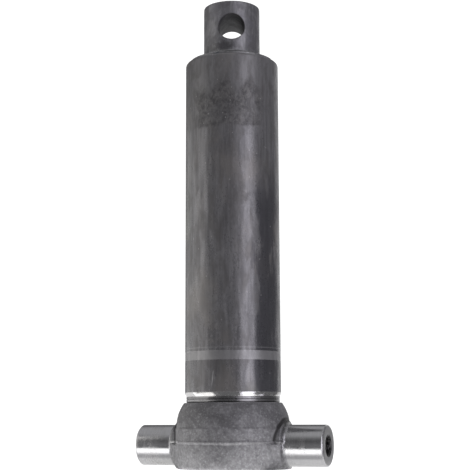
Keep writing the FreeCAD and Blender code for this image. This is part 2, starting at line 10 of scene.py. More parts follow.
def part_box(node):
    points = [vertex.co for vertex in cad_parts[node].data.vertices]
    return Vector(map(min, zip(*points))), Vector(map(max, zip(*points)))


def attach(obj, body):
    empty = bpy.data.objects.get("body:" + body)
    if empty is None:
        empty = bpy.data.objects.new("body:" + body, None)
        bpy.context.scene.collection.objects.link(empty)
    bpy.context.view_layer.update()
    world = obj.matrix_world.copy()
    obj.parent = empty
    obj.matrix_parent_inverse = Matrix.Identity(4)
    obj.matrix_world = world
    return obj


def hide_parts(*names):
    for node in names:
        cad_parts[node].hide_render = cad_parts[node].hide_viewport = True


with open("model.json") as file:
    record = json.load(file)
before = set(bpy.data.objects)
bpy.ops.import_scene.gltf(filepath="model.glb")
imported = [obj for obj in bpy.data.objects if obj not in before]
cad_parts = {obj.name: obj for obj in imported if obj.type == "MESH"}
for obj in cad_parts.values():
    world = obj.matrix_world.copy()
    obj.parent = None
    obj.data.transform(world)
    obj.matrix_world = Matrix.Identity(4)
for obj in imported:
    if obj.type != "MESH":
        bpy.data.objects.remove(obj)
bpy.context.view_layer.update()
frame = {"nodes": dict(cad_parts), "record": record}

# A telescopic hydraulic ram standing on its trunnion base. Shapes are written in millimetres and
# become metres when a mesh is made. Z runs up the ram and X along the trunnions.
MM = 0.001
MOUNTS = {mount["name"]: mount for mount in frame["record"]["mounts"]}


def turned_size(node):
    """Radius, foot and top of a turned node."""
    low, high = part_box(node)
    return high.x / MM, low.z / MM, high.z / MM


TUBE_R, TUBE_FOOT, TUBE_TOP = turned_size("barrel_tube")
EYE_R, _, EYE_TOP = turned_size("rod_eye")
_, _, PLUNGER_TOP = turned_size("plunger_tube")
BASE_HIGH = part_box("trunnion_base")[1] / MM
PIN_MOUNT = MOUNTS["trunnion_port_end"]
PIN_R = PIN_MOUNT["dims"]["r_mm"]
PIN_HEIGHT = PIN_MOUNT["pos_m"][2] / MM
PIN_END = BASE_HIGH.x
FLASH_R = BASE_HIGH.y
HOLE_MOUNT = MOUNTS["eye_bore"]
HOLE_R = HOLE_MOUNT["dims"]["r_mm"]
HOLE_HEIGHT = HOLE_MOUNT["pos_m"][2] / MM
HOLE_TURN = math.atan2(HOLE_MOUNT["axis"][0], -HOLE_MOUNT["axis"][1])
PORT_R = MOUNTS["oil_port"]["dims"]["r_mm"]

# the camera stands in front of the eye's hole, a little to the right of the axis, and looks up
VIEW_TURN = math.radians(20.8)
CAMERA_DISTANCE = 1.1927
CAMERA_SIDE = 0.0113
CAMERA_HEIGHT = 0.0543
CAMERA_PITCH = math.radians(9.39)
CAMERA_ROLL = math.radians(-0.30)
CAMERA_LENS = 86.8
CAMERA_SHIFT = (-0.0172, -0.0155)

# the studio: the board's reach to the sides and to the front and back, in metres
FLOOR_SIDES = (-1.2, 0.128)
FLOOR_DEPTH = (-0.084, 1.5)
FLOOR_GLOW = 0.62
FRONT_GLOW = 1.9
SEEN_GLOW = 0.9
FRONT_GLOW_EDGE = -0.036
SHADE_STRIP = (-0.030, -0.019)
SHADE_SHARE = 0.35
WHITE_GLOW = 1.15

# the room's brightness at each elevation, in degrees
ROOM = ((-90, 0.15), (-12, 0.15), (3, 0.22), (24, 0.1), (38, 0.2), (56, 0.5), (90, 0.5))

# name, turn from the camera's side, distance, height, (width, height), brightness, aim height, colour
SOFT_BOXES = (
    ("box_right", 37, 1.1, 0.1, (0.62, 2.0), 2.35, 0.1, (0.93, 0.91, 1.0)),
    ("box_left", -82, 1.1, 0.4, (0.82, 1.1), 1.08, 0.4, (1.0, 0.98, 0.96)),
    ("box_low_left", -73, 1.1, -0.65, (0.9, 0.8), 1.6, -0.65, (1.0, 0.99, 0.98)),
    ("box_far_left", -123, 1.1, 0.15, (0.9, 1.1), 0.75, 0.15, (1.0, 0.99, 0.97)),
    ("box_rear_right", 150, 1.2, 0.15, (0.7, 1.6), 0.6, 0.15, (1.0, 1.0, 1.0)),
)

# the tube's turned features
FOOT_R = 48.5
FOOT_TAPER_TOP = 77.4
FOOT_TAPER = 4.2
TAPER_BULGE = 0.22
SCREW_R = 44
BAND_LOW = 109.7
BAND_HIGH = 119
BAND_DEPTH = 0.12
GLAND_SCREW_R = 45
TUBE_EDGE = 2.8

# the tube's grooves, as (height above its foot, depth), and how many turned rings the band shows
FOOT_LINES = ((1.5, 0.12), (3.4, 0.4))
LINE_HALF = 0.35
BAND_RIBS = 25

# marks on the tube, the painted dark reflection on it, and the smudge on the eye, in millimetres; the
# scratch's turn is counted from the -Y side and the dark reflection's from the camera's side
HAIR_LINE = (121.6, 122.6)
SCRATCH_TURN = math.radians(-3.2)
SCRATCH_HEIGHTS = (84, 98)
SCRATCH_SIDE = (-11.2, -10.4)
SCRATCH_LEAN = -0.12
DARK_REFLECTION_TURN = math.radians(48)
DARK_REFLECTION_FADE = (330, 260)
PATCH_LOW = (350, 354)
PATCH_HIGH = (388, 404)
SMUDGE_HEIGHTS = (440.5, 447.5)

# the forging
BASE_TOP = 67
RIM_R = 51.5
DRUM_R = 59.3
DRUM_WAIST = 41.2
DRUM_STEP = 0.5
DOME_RADIUS = 40
DRAFT = 2
FLASH_HEIGHT = 27.2
FLASH_HALF = 1.7
LEDGE_PROUD = 0.45
WEB_LEVELS = ((0, 0.42), (0.4, 0.86), (1, 0.99))
COLLAR_R = 26
COLLAR_END = 59.5
ROOT_RADIUS = 4.6
PIN_EDGE = 1.4
MOUTH_R = 11.2
MOUTH_FROM = (70, 80)
PORT_LENGTH = 18
GALLERY_R = 6
THREAD_PITCH = 1.814
THREAD_DEPTH = 1.15
CENTRE_DRILL = ((3.15, 0), (1.25, 3.3), (1.25, 5.5), (0, 6))
EYE_EDGE = 1.3
SEAM_HALF = 1.15
SEAM_PROUD = 0.75
SEAM_RIPPLES = 96

# mesh fineness, in millimetres
FORGING_VOXEL = 0.6
EYE_VOXEL = 0.42


# ---------------------------------------------------------------- mesh helpers


def to_object(name, points, faces, smooth_angle=35):
    """A mesh object from points in millimetres, with its normals outwards and its sharp edges kept."""
    mesh = bpy.data.meshes.new(name)
    mesh.from_pydata((np.asarray(points, float) * MM).tolist(), [], faces)
    shell = bmesh.new()
    shell.from_mesh(mesh)
    bmesh.ops.recalc_face_normals(shell, faces=shell.faces)
    shell.to_mesh(mesh)
    shell.free()
    piece = bpy.data.objects.new(name, mesh)
    bpy.context.scene.collection.objects.link(piece)
    smooth(piece, smooth_angle)
    return piece


def smooth(piece, angle=35):
    """Smooth shading with edges sharper than the angle left crisp."""
    mesh = piece.data
    mesh.shade_smooth()
    mesh.set_sharp_from_angle(angle=math.radians(angle))


def eased(corners, radius, steps=4, closed=False):
    """The outline with each corner cut to a small round."""
    corners = [Vector(corner) for corner in corners]
    count = len(corners)
    outline = []
    for index, corner in enumerate(corners):
        if not closed and index in (0, count - 1):
            outline.append(tuple(corner))
            continue
        before = corners[index - 1] - corner
        after = corners[(index + 1) % count] - corner
        start = corner + before.normalized() * min(radius, before.length * 0.45)
        end = corner + after.normalized() * min(radius, after.length * 0.45)
        for step in range(steps + 1):
            share = step / steps
            first = start.lerp(corner, share)
            outline.append(tuple(first.lerp(corner.lerp(end, share), share)))
    return outline


def arc(centre, radius, start, end, steps):
    """Points of an arc, with its angles in degrees."""
    angles = np.radians(np.linspace(start, end, steps + 1))
    return [(centre[0] + radius * math.cos(a), centre[1] + radius * math.sin(a)) for a in angles]


def arc_through(start, end, radius, steps):
    """Points of the arc from start to end that turns left."""
    start, end = Vector(start), Vector(end)
    chord = end - start
    left = Vector((-chord.y, chord.x)).normalized()
    centre = start + chord / 2 + left * math.sqrt(radius**2 - (chord.length / 2) ** 2)
    first = math.degrees(math.atan2(start.y - centre.y, start.x - centre.x))
    last = math.degrees(math.atan2(end.y - centre.y, end.x - centre.x))
    return arc(centre, radius, first, last, steps)


def lathe(name, profile, along="Z", lift=0.0, steps=192, closed=False):
    """Turns (radius, place) pairs about Z, or about the line along X at a height."""
    rings = []
    points = []
    turns = np.linspace(0, 2 * math.pi, steps, endpoint=False)
    for radius, place in profile:
        count = 1 if radius < 1e-6 else steps
        rings.append((len(points), count))
        for turn in turns[:count]:
            across, up = radius * math.cos(turn), radius * math.sin(turn)
            points.append((across, up, place) if along == "Z" else (place, across, up + lift))
    faces = []
    pairs = list(zip(rings, rings[1:]))
    if closed:
        pairs.append((rings[-1], rings[0]))
    for (low, low_count), (high, high_count) in pairs:
        for index in range(steps):
            after = (index + 1) % steps
            corners = [
                low + index % low_count,
                low + after % low_count,
                high + after % high_count,
                high + index % high_count,
            ]
            corners = list(dict.fromkeys(corners))
            if len(corners) > 2:
                faces.append(corners)
    return to_object(name, points, faces)


def read_points(mesh):
    """The mesh's points as an array, in millimetres."""
    flat = np.empty(len(mesh.vertices) * 3)
    mesh.vertices.foreach_get("co", flat)
    return flat.reshape(-1, 3) / MM


def write_points(mesh, points):
    mesh.vertices.foreach_set("co", (points * MM).ravel())
    mesh.update()


def read_normals(mesh):
    flat = np.empty(len(mesh.vertices) * 3)
    mesh.vertices.foreach_get("normal", flat)
    return flat.reshape(-1, 3)


def relax(mesh, rounds):
    """Evens out the mesh: each point moves halfway to the mean of its neighbours."""
    edges = np.empty(len(mesh.edges) * 2, int)
    mesh.edges.foreach_get("vertices", edges)
    edges = edges.reshape(-1, 2)
    points = read_points(mesh)
    share = np.bincount(edges.ravel(), minlength=len(points))[:, None]
    for _ in range(rounds):
        total = np.zeros_like(points)
        for side in (0, 1):
            np.add.at(total, edges[:, side], points[edges[:, 1 - side]])
        points = (points + total / share) / 2
    write_points(mesh, points)


def noise_at(points, size, octaves=3, seed=0.0):
    """Fractal noise at each point, with features of about that size in millimetres."""
    shift = Vector((seed, seed * 1.7, -seed))
    return np.array(
        [noise.fractal(Vector(p) / size + shift, 1.0, 2.0, octaves) for p in points.tolist()]
    )


def voxel_union(name, parts, voxel, rounds):
    """One even mesh round all the parts, with its inner corners softened."""
    bpy.ops.object.select_all(action="DESELECT")
    for part in parts:
        part.select_set(True)
    bpy.context.view_layer.objects.active = parts[0]
    if len(parts) > 1:
        bpy.ops.object.join()
    whole = parts[0]
    whole.name = name
    remesh = whole.modifiers.new("even", "REMESH")
    remesh.mode = "VOXEL"
    remesh.voxel_size = voxel * MM
    bpy.ops.object.modifier_apply(modifier=remesh.name)
    relax(whole.data, rounds)
    whole.data.shade_smooth()
    return whole


def paint(mesh, name, values):
    """Stores one number per point, for a material to read."""
    layer = mesh.attributes.new(name, "FLOAT", "POINT")
    layer.data.foreach_set("value", np.clip(values, 0, 1).astype(np.float32))


# ---------------------------------------------------------------- pieces


def make_barrel():
    """The outer tube: a turned, tapered foot, the dull band of the steady rest and a rounded top edge."""
    taper_low = FOOT_TAPER_TOP - FOOT_TAPER
    outline = [(SCREW_R + 0.4, TUBE_FOOT), (FOOT_R - 0.5, TUBE_FOOT), (FOOT_R, TUBE_FOOT + 0.5)]
    for rise, depth in (*FOOT_LINES, (taper_low - TUBE_FOOT - 0.5, 0.15)):
        line = TUBE_FOOT + rise
        outline += [(FOOT_R, line - LINE_HALF), (FOOT_R - depth, line), (FOOT_R, line + LINE_HALF)]
    for share in np.linspace(0, 1, 9):
        bulge = TAPER_BULGE * 4 * share * (1 - share)
        across = FOOT_R + (TUBE_R - FOOT_R) * share
        outline.append((across + bulge, taper_low + FOOT_TAPER * share))
    outline += [(TUBE_R, BAND_LOW)]
    ribs = np.linspace(BAND_LOW + 0.3, BAND_HIGH - 0.3, BAND_RIBS)
    for index, rib in enumerate(ribs):
        outline.append((TUBE_R - BAND_DEPTH * (1.0 if index % 2 == 0 else 0.7), rib))
    outline += [(TUBE_R, BAND_HIGH)]
    outline += [(TUBE_R, TUBE_TOP - TUBE_EDGE)]
    outline += [(TUBE_R - 0.35, TUBE_TOP - 1.5), (TUBE_R - 1.1, TUBE_TOP - 0.5)]
    outline += [(TUBE_R - 2.5, TUBE_TOP), (GLAND_SCREW_R + 0.1, TUBE_TOP)]
    outline += [(GLAND_SCREW_R + 0.1, TUBE_FOOT + 60), (SCREW_R + 0.4, TUBE_FOOT + 20)]
    piece = lathe("barrel_tube_outer", outline, steps=288, closed=True)
    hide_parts("barrel_tube")
    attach(piece, "barrel")
    return piece


def drum_profile():
    """The forging's drum with its domed shoulder, from the sole up to the neck inside the tube."""
    sole_r = DRUM_R - DRAFT
    dome = arc_through(
        (DRUM_R - DRUM_STEP, DRUM_WAIST + 1.4), (RIM_R, BASE_TOP - 1), DOME_RADIUS, 10
    )
    return [
        (0, 0),
        (sole_r - 1.8, 0),
        (sole_r, 1.8),
        (DRUM_R, FLASH_HEIGHT),
        (DRUM_R - 0.1, DRUM_WAIST),
        *dome,
        (RIM_R - 0.7, BASE_TOP),
        (SCREW_R - 0.2, BASE_TOP),
        (SCREW_R - 0.2, BASE_TOP + 6),
        (0, BASE_TOP + 6),
    ]


def cut_below_sole(piece):
    """Cuts the piece off flat at the floor and closes it."""
    shell = bmesh.new()
    shell.from_mesh(piece.data)
    everything = list(shell.verts) + list(shell.edges) + list(shell.faces)
    cut = bmesh.ops.bisect_plane(
        shell, geom=everything, plane_co=(0, 0, 0), plane_no=(0, 0, 1), clear_inner=True
    )
    rim = [item for item in cut["geom_cut"] if isinstance(item, bmesh.types.BMEdge)]
    bmesh.ops.holes_fill(shell, edges=rim)
    shell.to_mesh(piece.data)
    shell.free()


def make_forging():
    """The rough forged body: drum and bosses in one skin, with a trimmed flash line round it."""
    drum = lathe("drum", drum_profile(), steps=160)
    boss = lathe("boss", boss_profile(), along="X", lift=PIN_HEIGHT, steps=128)
    cut_below_sole(boss)
    webs = [make_web(side) for side in (1, -1)]
    piece = voxel_union("base_forging", [drum, boss, *webs], FORGING_VOXEL, 2)
    mesh = piece.data
    points, normals = read_points(mesh), read_normals(mesh)
    rough = rough_share(points, normals)
    radial = np.hypot(points[:, 0], points[:, 1])
    on_drum = np.clip((radial - 54) / 3, 0, 1)
    lumps = noise_at(points, 15, 2, 3.0) * 0.2
    pits = noise_at(points, 2.6, 3, 8.0) * 0.075
    uneven = noise_at(points * [1, 1, 0.1], 8, 3, 5.0)
    wander = noise_at(points * [1, 1, 0], 26, 2, 1.0)
    away = (points[:, 2] - FLASH_HEIGHT - wander * 0.6) / FLASH_HALF
    ridge = np.clip(1.15 - np.abs(away) ** 2.2, 0, 1) * np.clip(0.75 + uneven * 0.6, 0.25, 1)
    under = np.exp(-((away + 1.5) / 0.6) ** 2) * on_drum
    step_off = (points[:, 2] - DRUM_WAIST - wander * 1.1) / 0.9
    ledge = LEDGE_PROUD / (1 + np.exp(np.clip(step_off * 3, -30, 30))) * (points[:, 2] > FLASH_HEIGHT)
    outwards = normals * [1, 1, 0.35]
    raised = ridge * (FLASH_R - DRUM_R - 0.12) + ledge * on_drum - under * 0.1
    points += outwards * (rough * raised)[:, None] + normals * (rough * (lumps + pits))[:, None]
    points[:, 2] = np.maximum(points[:, 2], 0)
    radial = np.hypot(points[:, 0], points[:, 1])
    inside = np.minimum(1, FLASH_R / np.maximum(radial, 1))
    within_collar = np.abs(points[:, 0]) < COLLAR_END - 6
    points[:, :2] *= np.where(within_collar, inside, 1)[:, None]
    write_points(mesh, points)
    # the flash line is painted light: uneven ground metal, plus a painted highlight that fades from the -X
    # side towards +X
    flash_wear_and_highlight = np.clip(0.4 + uneven * 1.5, 0.05, 1) * np.clip(0.8 - points[:, 0] / 110, 0.4, 1)
    paint(mesh, "flash", ridge * flash_wear_and_highlight)
    paint(mesh, "machined", 1 - rough)
    # painted shade in the corners by the bosses, and a painted shadow under the flash line
    paint(mesh, "crease_shade", crease_shade_share(points) + under * 0.25)
    paint(mesh, "root", np.clip((np.abs(points[:, 0]) - COLLAR_END + 0.4) / 1.2, 0, 1))
    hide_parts("trunnion_base")
    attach(piece, "barrel")
    return piece


def rough_share(points, normals):
    """1 on the forged skin and 0 on the turned faces: the sole, the top and the journals' roots."""
    flat = np.abs(normals[:, 2]) > 0.9
    turned_face = flat & ((points[:, 2] > BASE_TOP - 1.2) | (points[:, 2] < 0.8))
    neck = points[:, 2] > BASE_TOP - 0.4
    root = np.clip((COLLAR_END + ROOT_RADIUS - 0.6 - np.abs(points[:, 0])) / 2.5, 0, 1)
    return np.where(turned_face | neck, 0.0, root)


def crease_shade_share(points):
    """Painted shade: 1 in the sharp corner where a boss leaves the drum, above the parting line."""
    to_boss = np.hypot(points[:, 1], points[:, 2] - PIN_HEIGHT) - COLLAR_R
    to_drum = np.hypot(points[:, 0], points[:, 1]) - (DRUM_R - 1)
    away = np.maximum(np.abs(to_boss), np.abs(to_drum))
    above = np.clip((points[:, 2] - FLASH_HEIGHT + 1) / 2, 0, 1)
    return np.clip(1.45 - away / 2.6, 0, 1) * above


def boss_profile():
    """Half of a boss's outline mirrored: collar, end face and the round into the journal."""
    hidden_end = COLLAR_END + ROOT_RADIUS + 2.5
    fillet = arc((PIN_R + ROOT_RADIUS, COLLAR_END + ROOT_RADIUS), ROOT_RADIUS, -90, -172, 8)
    half = [(COLLAR_R, COLLAR_END - 0.5), *fillet, (PIN_R - 0.5, hidden_end), (0, hidden_end)]
    return [(radius, -place) for radius, place in reversed(half)] + half


def make_web(side):
    """The filled corner between the drum and a boss, below the parting line."""
    reach = (COLLAR_END - 0.4) * side
    points = []
    for rise, widening in WEB_LEVELS:
        corner = (DRUM_R - DRAFT * (1 - rise)) * 0.706
        half_width = COLLAR_R * widening
        height = (FLASH_HEIGHT - FLASH_HALF) * rise
        points += [(corner * side, -corner, height), (reach, -half_width, height)]
        points += [(reach, half_width, height), (corner * side, corner, height)]
    faces = [(0, 1, 2, 3)]
    for low in range(0, len(points) - 4, 4):
        for index in range(4):
            after = (index + 1) % 4
            faces.append((low + index, low + after, low + 4 + after, low + 4 + index))
    top = len(points) - 4
    faces.append((top, top + 1, top + 2, top + 3))
    return to_object("web", points, faces)


def journal_profile(inner):
    """From the root round along the journal to its bevelled end, then inwards."""
    start = COLLAR_END + ROOT_RADIUS - 0.5
    outer = [(PIN_R - 1.5, start), (PIN_R - 0.02, start + 0.1), (PIN_R, start + 0.6)]
    bevel = [(PIN_R, PIN_END - PIN_EDGE), (PIN_R - PIN_EDGE, PIN_END)]
    return outer + eased([outer[-1], *bevel, *inner], 0.3)[1:]


def make_journals():
    """The two turned journals; the one at +X is open for the oil port."""
    gallery_end = COLLAR_END + 1.5
    open_end = [
        (MOUTH_R, PIN_END),
        (MOUTH_R - 0.3, PIN_END - 0.5),
        (MOUTH_R - 0.3, PIN_END - PORT_LENGTH),
        (GALLERY_R, PIN_END - PORT_LENGTH - 2),
        (GALLERY_R, gallery_end),
        (0, gallery_end),
    ]
    centre_drill = [(radius, PIN_END - depth) for radius, depth in CENTRE_DRILL]
    port_end = lathe("journal_port_end", journal_profile(open_end), "X", PIN_HEIGHT, 192)
    plain_end = lathe("journal_plain_end", journal_profile(centre_drill), "X", PIN_HEIGHT, 192)
    plain_end.data.transform(Matrix.Scale(-1, 4, (1, 0, 0)))
    plain_end.data.flip_normals()
    for piece in (port_end, plain_end):
        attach(piece, "barrel")
    return [port_end, plain_end]


def make_port_thread():
    """The port's pipe thread, a real helix, run out into the bevel at its mouth."""
    steps, per_pitch = 96, 8
    start, end = PIN_END - PORT_LENGTH + 0.1, PIN_END - 0.15
    rows = int((end - start) / THREAD_PITCH * per_pitch)
    points, faces = [], []
    for row in range(rows + 1):
        place = start + (end - start) * row / rows
        bevel = MOUTH_R - 0.05 - (PIN_END - place)
        for step in range(steps):
            turn = step / steps
            phase = (place / THREAD_PITCH - turn) % 1.0
            wall = PORT_R + THREAD_DEPTH * (1 - abs(2 * phase - 1))
            radius = max(wall, bevel)
            across = radius * math.cos(turn * 2 * math.pi)
            up = radius * math.sin(turn * 2 * math.pi)
            points.append((place, across, up + PIN_HEIGHT))
    for row in range(rows):
        for step in range(steps):
            after = (step + 1) % steps
            low, high = row * steps, (row + 1) * steps
            faces.append((low + step, high + step, high + after, low + after))
    piece = to_object("port_thread", points, faces, 60)
    piece.data.flip_normals()
    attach(piece, "barrel")
    return piece


def make_eye():
    """The solid stub with its cross hole, rounded at the rims, and the uneven skin of rolled bar."""
    foot = PLUNGER_TOP - 0.4
    stub = lathe(
        "stub",
        eased([(0, foot), (EYE_R, foot), (EYE_R, EYE_TOP), (0, EYE_TOP)], EYE_EDGE, 6),
        steps=192,
    )
    bar_profile = [(0, -60), (HOLE_R, -60), (HOLE_R, 60), (0, 60)]
    bar = lathe("bar", bar_profile, "X", HOLE_HEIGHT, 128)
    bar.data.transform(Matrix.Rotation(HOLE_TURN - math.pi / 2, 4, "Z"))
    cut = stub.modifiers.new("cross_hole", "BOOLEAN")
    cut.object = bar
    cut.solver = "EXACT"
    bpy.context.view_layer.objects.active = stub
    bpy.ops.object.modifier_apply(modifier=cut.name)
    bpy.data.objects.remove(bar)
    piece = voxel_union("rod_eye_forged", [stub], EYE_VOXEL, 5)
    mesh = piece.data
    points, normals = read_points(mesh), read_normals(mesh)
    skin = np.where(points[:, 2] > EYE_TOP - 0.6, 0.15, 1.0)
    dents = noise_at(points, 11, 2, 12.0) * 0.13 + noise_at(points * [1, 1, 0.4], 2.4, 3, 4.0) * 0.035
    points += normals * (skin * (dents - 0.05))[:, None]
    points[:, 2] = np.minimum(points[:, 2], EYE_TOP)
    write_points(mesh, points)
    sideways = points @ [math.cos(HOLE_TURN), math.sin(HOLE_TURN), 0]
    from_axis = np.hypot(sideways, points[:, 2] - HOLE_HEIGHT)
    # marks the inside of the cross hole, where shade is painted
    paint(mesh, "hole", (HOLE_R + 1.4 - from_axis) / 1.6)
    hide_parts("rod_eye")
    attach(piece, "plunger")
    return piece


def make_seam():
    """The weld seam at the foot of the eye: a low bead with close, uneven ripples."""
    steps, across = 720, 8
    points, faces = [], []
    for step in range(steps):
        turn = 2 * math.pi * step / steps
        wander = noise.noise(Vector((math.cos(turn) * 2.5, math.sin(turn) * 2.5, 0)))
        ripple = 0.75 + 0.25 * math.sin(SEAM_RIPPLES * turn + 2.2 * wander)
        reach = 0.45 + SEAM_PROUD * ripple * (0.85 + 0.2 * wander)
        for index in range(across + 1):
            swing = math.pi * index / across
            radius = EYE_R - 0.5 + reach * math.sin(swing)
            height = PLUNGER_TOP - SEAM_HALF * math.cos(swing) + 0.15 * wander
            points.append((radius * math.cos(turn), radius * math.sin(turn), height))
    width = across + 1
    for step in range(steps):
        after = (step + 1) % steps
        for index in range(width):
            above = (index + 1) % width
            low, high = step * width, after * width
            faces.append((low + index, high + index, high + above, low + above))
    piece = to_object("eye_weld_seam", points, faces, 60)
    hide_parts("eye_weld_bead")
    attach(piece, "plunger")
    return piece


# ---------------------------------------------------------------- materials


class Graph:
    """A material with a Principled shader, and short calls for the nodes that repeat."""

    def __init__(self, name, **settings):
        self.material = bpy.data.materials.new(name)
        self.material.use_nodes = True
        self.tree = self.material.node_tree
        self.shader = self.tree.nodes["Principled BSDF"]
        self.place = self.node("ShaderNodeTexCoord").outputs["Object"]
        for socket, value in settings.items():
            self.shader.inputs[socket.replace("_", " ")].default_value = value

    def node(self, kind, **fields):
        made = self.tree.nodes.new(kind)
        for field, value in fields.items():
            setattr(made, field, value)
        return made

    def put(self, socket, value):
        """Links a socket or sets a value."""
        if isinstance(value, bpy.types.NodeSocket):
            self.tree.links.new(value, socket)
        else:
            socket.default_value = value

    def drive(self, name, value):
        self.put(self.shader.inputs[name], value)

    def stretched(self, stretch):
        """The object's coordinates, scaled along each axis."""
        made = self.node("ShaderNodeVectorMath", operation="MULTIPLY")
        self.put(made.inputs[0], self.place)
        made.inputs[1].default_value = stretch
        return made.outputs[0]

    def noise(self, size, detail=4, stretch=None, rough=0.55, twist=0.0):
        """Noise whose features are about that many millimetres across."""
        made = self.node("ShaderNodeTexNoise")
        self.put(made.inputs["Vector"], self.stretched(stretch) if stretch else self.place)
        made.inputs["Scale"].default_value = 1 / (size * MM)
        made.inputs["Detail"].default_value = detail
        made.inputs["Roughness"].default_value = rough
        made.inputs["Distortion"].default_value = twist
        return made.outputs["Fac"]

    def cells(self, size, stretch=None):
        """Distance to the nearest of many scattered points."""
        made = self.node("ShaderNodeTexVoronoi")
        self.put(made.inputs["Vector"], self.stretched(stretch) if stretch else self.place)
        made.inputs["Scale"].default_value = 1 / (size * MM)
        return made.outputs["Distance"]

    def span(self, value, low, high, start=0.0, end=1.0, smoothly=True):
        """Maps low..high to start..end and holds the ends."""
        made = self.node("ShaderNodeMapRange")
        made.interpolation_type = "SMOOTHSTEP" if smoothly else "LINEAR"
        for index, item in enumerate((value, low, high, start, end)):
            self.put(made.inputs[index], item)
        return made.outputs[0]

    def sum(self, operation, first, second):
        made = self.node("ShaderNodeMath", operation=operation)
        self.put(made.inputs[0], first)
        self.put(made.inputs[1], second)
        return made.outputs[0]

    def mix(self, share, first, second):
        """Colour between first and second."""
        made = self.node("ShaderNodeMix", data_type="RGBA")
        self.put(made.inputs["Factor"], share)
        for socket, value in ((made.inputs[6], first), (made.inputs[7], second)):
            self.put(socket, (*value, 1) if isinstance(value, tuple) else value)
        return made.outputs[2]

    def axis(self, name):
        """One coordinate of the point, in metres."""
        made = self.node("ShaderNodeSeparateXYZ")
        self.put(made.inputs[0], self.place)
        return made.outputs[name]

    def turn_from(self, direction):
        """How far round the ram the point is from a direction, as the cosine of the angle."""
        flat = self.stretched((1, 1, 0))
        unit = self.node("ShaderNodeVectorMath", operation="NORMALIZE")
        self.put(unit.inputs[0], flat)
        facing = self.node("ShaderNodeVectorMath", operation="DOT_PRODUCT")
        self.put(facing.inputs[0], unit.outputs[0])
        facing.inputs[1].default_value = (math.sin(direction), -math.cos(direction), 0)
        return facing.outputs["Value"]

    def beside(self, direction):
        """Distance in metres from the upright plane that holds the axis and faces a direction."""
        offset = self.node("ShaderNodeVectorMath", operation="DOT_PRODUCT")
        self.put(offset.inputs[0], self.place)
        offset.inputs[1].default_value = (math.cos(direction), math.sin(direction), 0)
        return offset.outputs["Value"]

    def from_pin_axis(self):
        """Distance from the line through the journals, in metres."""
        lifted = self.node("ShaderNodeVectorMath", operation="SUBTRACT")
        self.put(lifted.inputs[0], self.stretched((0, 1, 1)))
        lifted.inputs[1].default_value = (0, 0, PIN_HEIGHT * MM)
        length = self.node("ShaderNodeVectorMath", operation="LENGTH")
        self.put(length.inputs[0], lifted.outputs[0])
        return length.outputs["Value"]

    def painted(self, name):
        return self.node("ShaderNodeAttribute", attribute_name=name).outputs["Fac"]

    def bump(self, *layers):
        """Bumps from (height, depth in millimetres) pairs, one over the other."""
        normal = None
        for height, depth in layers:
            made = self.node("ShaderNodeBump")
            made.inputs["Strength"].default_value = 1.0
            made.inputs["Distance"].default_value = depth * MM
            self.put(made.inputs["Height"], height)
            if normal is not None:
                self.put(made.inputs["Normal"], normal)
            normal = made.outputs[0]
        self.put(self.shader.inputs["Normal"], normal)


def between(graph, value, low, high, soft):
    """1 between low and high, fading over the soft width."""
    rise = graph.span(value, low - soft, low + soft)
    fall = graph.span(value, high - soft, high + soft, 1.0, 0.0)
    return graph.sum("MULTIPLY", rise, fall)


